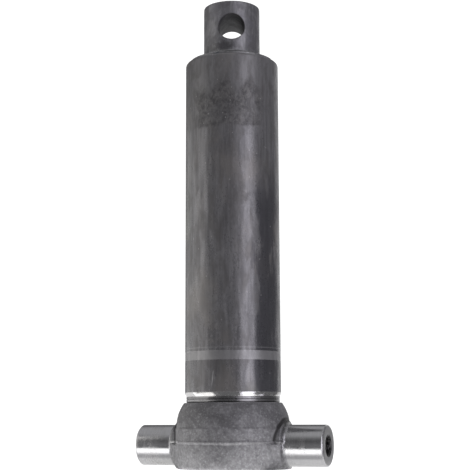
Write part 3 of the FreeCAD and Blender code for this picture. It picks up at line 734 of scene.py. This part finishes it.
def tube_material():
    """Drawn tube under mill scale and oil: streaks, stains, a rubbed patch, a dull band, a bright foot, a
    painted dark reflection and a painted shadow at the foot.
    """
    g = Graph("tube_skin")
    height = g.axis("Z")
    streaks = g.noise(5, 5, (1, 1, 0.1), 0.62)
    smears = g.noise(13, 5, (1, 1, 0.45), 0.62, 0.5)
    clouds = g.noise(45, 4, (1, 1, 0.5), 0.6, 0.4)
    mottle = g.noise(2.6, 4, (1, 1, 0.7), 0.7)
    skin = g.mix(g.span(streaks, 0.3, 0.72), (0.118, 0.116, 0.12), (0.215, 0.212, 0.217))
    skin = g.mix(g.span(height, 0.33, 0.42, 0, 0.5), skin, (0.24, 0.236, 0.238))
    skin = g.mix(g.span(smears, 0.45, 0.66, 0, 0.6), skin, (0.105, 0.1, 0.098))
    skin = g.mix(g.span(clouds, 0.5, 0.68, 0, 0.55), skin, (0.22, 0.207, 0.195))
    tint = g.span(g.noise(55, 3, (1, 1, 0.4), 0.5), 0.56, 0.72, 0, 0.4)
    skin = g.mix(tint, skin, (0.125, 0.137, 0.118))
    skin = g.mix(g.span(mottle, 0.55, 0.8, 0, 0.3), skin, (0.3, 0.295, 0.295))
    skin = g.mix(g.span(mottle, 0.47, 0.25, 0, 0.2), skin, (0.085, 0.083, 0.086))
    # painted dark reflection: a dark streak down the right of the front, fading towards the top
    run = dark_reflection_mask(g, height)
    skin = g.mix(g.sum("MULTIPLY", run, 0.75), skin, (0.05, 0.05, 0.058))
    worn = patch_mask(g, height)
    flecks = g.span(g.noise(5, 5, (1, 1, 0.8), 0.75, 0.5), 0.36, 0.7)
    worn = g.sum("MULTIPLY", worn, g.span(smears, 0.3, 0.55, 0.35, 1.0))
    rubbed = g.mix(flecks, (0.06, 0.058, 0.059), (0.185, 0.18, 0.177))
    skin = g.mix(g.sum("MULTIPLY", worn, 0.8), skin, rubbed)
    specks = g.span(g.cells(9, (1, 1, 0.8)), 0.09, 0.04)
    skin = g.mix(g.sum("MULTIPLY", specks, 0.6), skin, (0.42, 0.41, 0.4))
    scratch = scratch_mask(g, height)
    skin = g.mix(g.sum("MULTIPLY", scratch, 0.7), skin, (0.5, 0.5, 0.5))
    band = between(g, height, BAND_LOW * MM, BAND_HIGH * MM, 0.0002)
    hair_line = between(g, height, HAIR_LINE[0] * MM, HAIR_LINE[1] * MM, 0.0003)
    bright = g.span(height, (FOOT_TAPER_TOP + 0.25) * MM, (FOOT_TAPER_TOP - 0.1) * MM)
    foot = g.span(height, (FOOT_TAPER_TOP - FOOT_TAPER + 0.3) * MM, (FOOT_TAPER_TOP - FOOT_TAPER) * MM)
    dull = g.mix(g.span(streaks, 0.3, 0.7), (0.235, 0.232, 0.235), (0.3, 0.297, 0.3))
    skin = g.mix(band, skin, dull)
    skin = g.mix(g.sum("MULTIPLY", hair_line, 0.35), skin, (0.33, 0.33, 0.33))
    steel = g.mix(g.span(clouds, 0.4, 0.6), (0.52, 0.515, 0.51), (0.64, 0.635, 0.63))
    skin = g.mix(bright, skin, g.mix(foot, steel, (0.235, 0.232, 0.235)))
    # painted shadow: the tube's bottom edge is painted near black where it sits on the base
    seat_shadow = g.span(height, (TUBE_FOOT + 1.1) * MM, (TUBE_FOOT + 0.6) * MM)
    skin = g.mix(g.sum("MULTIPLY", seat_shadow, 0.9), skin, (0.02, 0.019, 0.019))
    g.drive("Base Color", skin)
    g.drive("Metallic", g.sum("MAXIMUM", bright, g.span(band, 0, 1, 0.45, 0.6)))
    rough = g.sum("ADD", g.span(smears, 0.3, 0.7, 0.25, 0.4), g.span(height, 0.08, 0.42, -0.04, 0.05))
    rough = g.sum("ADD", rough, g.span(mottle, 0.3, 0.75, -0.05, 0.1))
    rough = g.sum("ADD", rough, g.sum("MULTIPLY", g.sum("MAXIMUM", worn, band), 0.1))
    polish = g.sum("MULTIPLY", g.sum("SUBTRACT", bright, g.sum("MULTIPLY", foot, 1.1)), 0.12)
    g.drive("Roughness", g.sum("SUBTRACT", rough, polish))
    skin_only = g.sum("SUBTRACT", 1.0, bright)
    drawn = g.sum("MULTIPLY", streaks, skin_only)
    relief = g.sum("MULTIPLY", mottle, skin_only)
    rubbed_relief = g.sum("MULTIPLY", worn, flecks)
    g.bump((drawn, 0.035), (relief, 0.05), (rubbed_relief, 0.09))
    return g.material


def patch_mask(g, height):
    """The rubbed, mottled patch high on the front of the tube, with a broken upper edge."""
    edge = g.span(g.noise(16, 5, (1, 1, 0.8), 0.7), 0.3, 0.7, -1.0, 1.0, smoothly=False)
    low_edge = g.sum("ADD", height, g.sum("MULTIPLY", edge, 0.002))
    high_edge = g.sum("ADD", height, g.sum("MULTIPLY", edge, 0.011))
    low = g.span(low_edge, PATCH_LOW[0] * MM, PATCH_LOW[1] * MM)
    high = g.span(high_edge, PATCH_HIGH[0] * MM, PATCH_HIGH[1] * MM, 1.0, 0.0)
    facing = g.sum("ADD", g.turn_from(VIEW_TURN - 0.12), g.sum("MULTIPLY", edge, 0.08))
    return g.sum("MULTIPLY", g.sum("MULTIPLY", low, high), g.span(facing, 0.6, 0.85))


def dark_reflection_mask(g, height):
    """A painted dark reflection down the right of the tube's front: a dark streak fading towards the top.
    """
    edge = g.span(g.noise(12, 4, (1, 1, 0.25), 0.6), 0.3, 0.7, -0.07, 0.07, smoothly=False)
    facing = g.sum("ADD", g.turn_from(VIEW_TURN + DARK_REFLECTION_TURN), edge)
    low_part = g.span(height, DARK_REFLECTION_FADE[0] * MM, DARK_REFLECTION_FADE[1] * MM)
    return g.sum("MULTIPLY", g.span(facing, 0.93, 0.985), low_part)


def scratch_mask(g, height):
    """One light upright scratch, low on the front of the tube, leaning a little."""
    leaning = g.sum("ADD", g.beside(SCRATCH_TURN), g.sum("MULTIPLY", height, SCRATCH_LEAN))
    line = between(g, leaning, SCRATCH_SIDE[0] * MM, SCRATCH_SIDE[1] * MM, 0.0004)
    rows = between(g, height, SCRATCH_HEIGHTS[0] * MM, SCRATCH_HEIGHTS[1] * MM, 0.002)
    return g.sum("MULTIPLY", g.sum("MULTIPLY", line, rows), facing_front(g))


def facing_front(g):
    """Keeps a mark off the far side of the tube."""
    return g.span(g.turn_from(SCRATCH_TURN), 0.0, 0.1)


def forged_material():
    """Shot-blasted forged skin: fine grain, darker stains with painted shade over the dome, painted shade
    in the corners and a bright flash line, partly a painted highlight.
    """
    g = Graph("forged_skin")
    height = g.axis("Z")
    grain = g.noise(2.1, 4, None, 0.75)
    mottle = g.noise(5.5, 5, None, 0.68)
    stains = g.noise(15, 5, (1, 1, 1.5), 0.65, 0.6)
    skin = g.mix(g.span(mottle, 0.3, 0.7), (0.136, 0.134, 0.139), (0.243, 0.241, 0.246))
    # stains, weighted onto the dome above the waist: real stains, and painted shade that darkens the upper
    # part
    upper = g.span(height, (DRUM_WAIST - 2) * MM, (DRUM_WAIST + 3) * MM, 0.15, 0.95)
    stains_and_dome_shade = g.sum("MULTIPLY", g.span(stains, 0.34, 0.6), upper)
    skin = g.mix(stains_and_dome_shade, skin, (0.112, 0.11, 0.114))
    skin = g.mix(g.span(grain, 0.52, 0.7, 0, 0.6), skin, (0.38, 0.378, 0.385))
    skin = g.mix(g.span(grain, 0.47, 0.3, 0, 0.6), skin, (0.085, 0.084, 0.086))
    # ground flash line, lighter towards -X as a painted highlight
    skin = g.mix(g.span(g.painted("flash"), 0.3, 0.95, 0, 0.75), skin, (0.52, 0.515, 0.51))
    # painted shade: the corners by the bosses and the line under the flash go near black
    skin = g.mix(g.span(g.painted("crease_shade"), 0.1, 0.85, 0, 0.95), skin, (0.022, 0.021, 0.021))
    skin = g.mix(g.sum("MULTIPLY", g.painted("machined"), 0.8), skin, (0.4, 0.4, 0.405))
    g.drive("Base Color", skin)
    g.drive("Metallic", g.span(g.painted("root"), 0, 1, 0.3, 0.85))
    rough = g.span(g.noise(9, 4), 0.3, 0.7, 0.46, 0.62)
    g.drive("Roughness", g.sum("SUBTRACT", rough, g.sum("MULTIPLY", g.painted("root"), 0.28)))
    pits = g.span(g.cells(1.7), 0.0, 0.55)
    g.bump((mottle, 0.25), (grain, 0.16), (pits, 0.06))
    return g.material


def turned_material():
    """Bright turned steel: fine tool rings round the journal, thin oil smears and painted shade in the
    port's mouth.
    """
    g = Graph("turned_journal", Metallic=1.0)
    rings = g.noise(0.28, 3, (1, 0.02, 0.02), 0.7)
    broad = g.noise(4.5, 3, (1, 0.05, 0.05), 0.5)
    smear = g.noise(17, 4, (1, 1, 1), 0.6, 0.6)
    steel = g.mix(g.span(rings, 0.3, 0.7), (0.44, 0.438, 0.44), (0.54, 0.538, 0.54))
    steel = g.mix(g.span(smear, 0.5, 0.72, 0, 0.4), steel, (0.38, 0.37, 0.36))
    end_face = g.span(g.sum("ABSOLUTE", g.axis("X"), 0.0), (PIN_END - 0.5) * MM, (PIN_END - 0.2) * MM)
    steel = g.mix(g.sum("MULTIPLY", end_face, 0.6), steel, (0.26, 0.258, 0.262))
    # painted shade: the bevel in the port's mouth is painted dark
    inside = g.span(g.from_pin_axis(), (MOUTH_R + 0.3) * MM, MOUTH_R * MM)
    near_end = g.span(g.axis("X"), MOUTH_FROM[0] * MM, MOUTH_FROM[1] * MM)
    mouth = g.sum("MULTIPLY", inside, near_end)
    steel = g.mix(g.sum("MULTIPLY", mouth, 0.8), steel, (0.1, 0.098, 0.1))
    g.drive("Base Color", steel)
    rough = g.sum("ADD", g.span(broad, 0.3, 0.7, 0.17, 0.25), g.span(smear, 0.4, 0.7, 0, 0.08))
    g.drive("Roughness", g.sum("ADD", rough, g.sum("MULTIPLY", end_face, 0.14)))
    g.bump((rings, 0.005))
    return g.material


def thread_material():
    """Cut thread, painted near black as shade inside the port."""
    g = Graph("port_thread_skin", Metallic=1.0)
    film = g.noise(3, 4)
    # painted shade: the thread's colours are kept near black
    g.drive("Base Color", g.mix(g.span(film, 0.35, 0.65), (0.03, 0.029, 0.029), (0.1, 0.098, 0.097)))
    g.drive("Roughness", g.span(film, 0.3, 0.7, 0.22, 0.4))
    g.bump((g.noise(0.4, 3), 0.02))
    return g.material


def eye_material():
    """Dark rolled bar, handled and oiled: smudges, a violet cast and the cross hole painted near black as
    shade.
    """
    g = Graph("eye_skin")
    clouds = g.noise(11, 5, (1, 1, 0.8), 0.62, 0.5)
    streaks = g.noise(3.2, 5, (1, 1, 0.15), 0.6)
    grain = g.noise(1.1, 4, None, 0.72)
    skin = g.mix(g.span(streaks, 0.32, 0.7), (0.17, 0.169, 0.175), (0.27, 0.268, 0.277))
    skin = g.mix(g.span(clouds, 0.44, 0.62, 0, 0.75), skin, (0.125, 0.122, 0.129))
    skin = g.mix(g.span(clouds, 0.42, 0.28, 0, 0.6), skin, (0.28, 0.275, 0.285))
    skin = g.mix(g.span(g.noise(22, 2), 0.5, 0.7, 0, 0.4), skin, (0.19, 0.188, 0.215))
    skin = g.mix(g.span(grain, 0.52, 0.75, 0, 0.25), skin, (0.32, 0.317, 0.325))
    smudge = g.sum("MULTIPLY", smudge_mask(g), 0.6)
    skin = g.mix(smudge, skin, (0.045, 0.043, 0.045))
    # painted shade inside the cross hole
    hole_shade = g.sum("MULTIPLY", g.painted("hole"), g.span(grain, 0.35, 0.7, 0.95, 0.7))
    skin = g.mix(hole_shade, skin, (0.03, 0.029, 0.03))
    g.drive("Base Color", skin)
    g.drive("Metallic", g.span(clouds, 0.2, 0.8, 0.5, 0.35))
    rough = g.sum("ADD", g.span(clouds, 0.3, 0.7, 0.3, 0.44), g.span(grain, 0.3, 0.8, 0, 0.1))
    g.drive("Roughness", g.sum("ADD", rough, g.sum("MULTIPLY", g.painted("hole"), 0.2)))
    g.bump((clouds, 0.12), (streaks, 0.05), (grain, 0.05))
    return g.material


def smudge_mask(g):
    """A dark oily smudge below the hole, to its left."""
    edge = g.span(g.noise(6, 4), 0.3, 0.7, -0.004, 0.004, smoothly=False)
    placed = g.sum("ADD", g.axis("Z"), edge)
    rows = between(g, placed, SMUDGE_HEIGHTS[0] * MM, SMUDGE_HEIGHTS[1] * MM, 0.003)
    left = g.sum("ADD", g.turn_from(HOLE_TURN - 0.45), g.sum("MULTIPLY", edge, 8))
    return g.sum("MULTIPLY", rows, g.span(left, 0.72, 0.9))


def steel_material(name, dark, light, rough, size=6.0, stretch=(1, 1, 0.05), depth=0.02, metallic=1.0):
    """Plain worked steel: streaks along or round the piece and a thin uneven oil film."""
    g = Graph(name, Metallic=metallic)
    streaks = g.noise(size, 4, stretch, 0.6)
    film = g.noise(18, 4, None, 0.6, 0.4)
    steel = g.mix(g.span(streaks, 0.3, 0.7), dark, light)
    steel = g.mix(g.span(film, 0.45, 0.7, 0, 0.35), steel, tuple(0.7 * c for c in dark))
    g.drive("Base Color", steel)
    low, high = rough
    g.drive("Roughness", g.span(film, 0.3, 0.7, low, high))
    g.bump((streaks, depth), (g.noise(0.7, 3), depth * 0.6))
    return g.material


def soft_material(name, dark, light, rough):
    """Seals and guide rings: a moulded or turned skin with faint mottling and dust."""
    g = Graph(name)
    cloud = g.noise(5, 4)
    g.drive("Base Color", g.mix(g.span(cloud, 0.35, 0.65), dark, light))
    g.drive("Roughness", g.span(g.noise(2.2, 3), 0.3, 0.7, rough - 0.08, rough + 0.1))
    g.bump((g.noise(0.6, 3), 0.03))
    return g.material


def woven_material():
    """Guide rings of cloth-filled resin: a fine crossed weave under brown resin."""
    g = Graph("guide_resin")
    weave = g.sum("MAXIMUM", g.noise(0.9, 2, (1, 1, 0.15)), g.noise(0.9, 2, (0.15, 0.15, 1)))
    g.drive("Base Color", g.mix(g.span(weave, 0.5, 0.75), (0.19, 0.1, 0.045), (0.4, 0.25, 0.12)))
    g.drive("Roughness", g.span(weave, 0.4, 0.8, 0.5, 0.68))
    g.bump((weave, 0.05))
    return g.material


def dress(pieces, material):
    """Gives each piece one material."""
    for piece in pieces:
        piece.data.materials.clear()
        piece.data.materials.append(material)


def gland_material():
    """Phosphated gland nut: dull, dark and a little mottled."""
    look = {"rough": (0.3, 0.44), "size": 4.0, "stretch": (1, 1, 1), "depth": 0.05, "metallic": 0.4}
    return steel_material("gland_skin", (0.16, 0.158, 0.16), (0.27, 0.268, 0.27), **look)


def seam_material():
    """Weld metal, left as it set and brushed."""
    look = {"rough": (0.34, 0.5), "size": 3.0, "stretch": (1, 1, 1), "depth": 0.05, "metallic": 0.8}
    return steel_material("seam_skin", (0.24, 0.24, 0.24), (0.4, 0.398, 0.392), **look)


STEEL_LOOKS = (
    # slot, name, darker colour, lighter colour, roughness
    ("sleeve_steel", "sleeve_skin", (0.24, 0.24, 0.245), (0.36, 0.36, 0.365), (0.22, 0.34)),
    ("plunger_steel", "plunger_chrome", (0.5, 0.505, 0.52), (0.6, 0.605, 0.62), (0.07, 0.16)),
    ("plug_steel", "plug_skin", (0.25, 0.25, 0.26), (0.36, 0.36, 0.37), (0.3, 0.4)),
    ("spring_steel", "spring_wire", (0.16, 0.16, 0.17), (0.27, 0.27, 0.28), (0.28, 0.42)),
)
SOFT_LOOKS = (
    ("nitrile_rubber", "nitrile", (0.012, 0.012, 0.013), (0.03, 0.03, 0.031), 0.5),
    ("seal_polyurethane", "polyurethane", (0.02, 0.03, 0.045), (0.045, 0.06, 0.08), 0.36),
)


def dress_cad_nodes():
    """Materials for the nodes that are shown as they were packed."""
    finishes = {"gland_steel": gland_material()}
    for slot, *look in STEEL_LOOKS:
        finishes[slot] = steel_material(*look)
    for slot, *look in SOFT_LOOKS:
        finishes[slot] = soft_material(*look)
    finishes["guide_resin"] = woven_material()
    slots = {part["node"]: part["material_slot"] for part in frame["record"]["subparts"]}
    for name, node in frame["nodes"].items():
        finish = finishes.get(slots[name])
        if finish:
            dress([node], finish)


# ---------------------------------------------------------------- floor, light and camera


def floor_material():
    """A glowing white board. The camera sees it evenly white, but the steel mirrors a brighter front
    part and a darker strip near the ram."""
    g = Graph("floor_paint", Roughness=0.9)
    cloud = g.noise(300, 2)
    g.drive("Base Color", g.mix(cloud, (0.9, 0.9, 0.9), (0.93, 0.93, 0.93)))
    g.drive("Emission Color", g.mix(cloud, (0.98, 0.98, 0.98), (1.0, 1.0, 1.0)))
    front = g.span(g.axis("Y"), FRONT_GLOW_EDGE + 0.006, FRONT_GLOW_EDGE - 0.006)
    seen = g.node("ShaderNodeLightPath").outputs["Is Camera Ray"]
    shade = between(g, g.axis("Y"), *SHADE_STRIP, 0.003)
    bare_glow = g.span(front, 0, 1, FLOOR_GLOW, FRONT_GLOW)
    glow = g.sum("MULTIPLY", bare_glow, g.span(shade, 0, 1, 1.0, SHADE_SHARE))
    g.drive("Emission Strength", g.span(seen, 0, 1, glow, SEEN_GLOW))
    return g.material


def make_floor():
    """A board under the ram. It ends a little way in front, where the dark room begins."""
    mesh = bpy.data.meshes.new("floor")
    left, right = FLOOR_SIDES
    front, back = FLOOR_DEPTH
    corners = [(left, front, 0), (right, front, 0), (right, back, 0), (left, back, 0)]
    mesh.from_pydata(corners, [], [(0, 1, 2, 3)])
    floor = bpy.data.objects.new("floor", mesh)
    bpy.context.scene.collection.objects.link(floor)
    mesh.materials.append(floor_material())


def round_the_ram(turn_degrees, distance, height):
    """A place round the ram: the turn is counted from the camera's side, to its right."""
    turn = VIEW_TURN + math.radians(turn_degrees)
    return Vector((math.sin(turn) * distance, -math.cos(turn) * distance, height))


def soft_box(name, turn, distance, height, size, brightness, aim_height, colour):
    """A rectangular lamp that faces the ram. Its power follows from its size and brightness."""
    lamp = bpy.data.lights.new(name, "AREA")
    lamp.shape = "RECTANGLE"
    lamp.size, lamp.size_y = size
    lamp.energy = brightness * math.pi * size[0] * size[1]
    lamp.color = colour
    holder = bpy.data.objects.new(name, lamp)
    holder.location = round_the_ram(turn, distance, height)
    towards = Vector((0, 0, aim_height)) - holder.location
    holder.rotation_mode = "QUATERNION"
    holder.rotation_quaternion = towards.to_track_quat("-Z", "Y")
    holder.visible_camera = False
    bpy.context.scene.collection.objects.link(holder)


def light_scene():
    """Soft boxes round the ram, in a room whose brightness changes with height.

    The camera sees plain white in place of the room.
    """
    for box in SOFT_BOXES:
        soft_box(*box)
    world = bpy.data.worlds.new("studio")
    bpy.context.scene.world = world
    world.use_nodes = True
    tree = world.node_tree
    link = tree.links.new
    room = tree.nodes["Background"]
    place = tree.nodes.new("ShaderNodeTexCoord")
    split = tree.nodes.new("ShaderNodeSeparateXYZ")
    ramp = tree.nodes.new("ShaderNodeValToRGB")
    link(place.outputs["Generated"], split.inputs[0])
    shift = tree.nodes.new("ShaderNodeMapRange")
    shift.inputs[1].default_value = -1
    link(split.outputs["Z"], shift.inputs[0])
    link(shift.outputs[0], ramp.inputs[0])
    link(ramp.outputs[0], room.inputs["Color"])
    stops = ramp.color_ramp.elements
    while len(stops) < len(ROOM):
        stops.new(0.5)
    for stop, (elevation, level) in zip(stops, ROOM):
        stop.position = (math.sin(math.radians(elevation)) + 1) / 2
        stop.color = (level, level, level * 1.04, 1)
    white = tree.nodes.new("ShaderNodeBackground")
    white.inputs["Color"].default_value = (1, 1, 1, 1)
    white.inputs["Strength"].default_value = WHITE_GLOW
    path = tree.nodes.new("ShaderNodeLightPath")
    pick = tree.nodes.new("ShaderNodeMixShader")
    link(path.outputs["Is Camera Ray"], pick.inputs[0])
    link(room.outputs[0], pick.inputs[1])
    link(white.outputs[0], pick.inputs[2])
    link(pick.outputs[0], tree.nodes["World Output"].inputs[0])


def make_camera():
    """Stands in front of the eye's hole, close to the floor, and looks up along the ram."""
    lens = bpy.data.cameras.new("camera")
    lens.lens = CAMERA_LENS
    lens.sensor_width = 36
    lens.shift_x, lens.shift_y = CAMERA_SHIFT
    camera = bpy.data.objects.new("camera", lens)
    stand = Matrix.Translation((CAMERA_SIDE, -CAMERA_DISTANCE, CAMERA_HEIGHT))
    tilt = Matrix.Rotation(math.pi / 2 + CAMERA_PITCH, 4, "X")
    roll = Matrix.Rotation(CAMERA_ROLL, 4, "Z")
    camera.matrix_world = Matrix.Rotation(VIEW_TURN, 4, "Z") @ stand @ tilt @ roll
    bpy.context.scene.collection.objects.link(camera)
    bpy.context.scene.camera = camera


def main():
    dress([make_barrel()], tube_material())
    dress([make_forging()], forged_material())
    dress(make_journals(), turned_material())
    dress([make_port_thread()], thread_material())
    dress([make_eye()], eye_material())
    dress([make_seam()], seam_material())
    dress_cad_nodes()
    make_floor()
    light_scene()
    make_camera()
    bpy.context.scene.view_settings.view_transform = "Standard"


main()
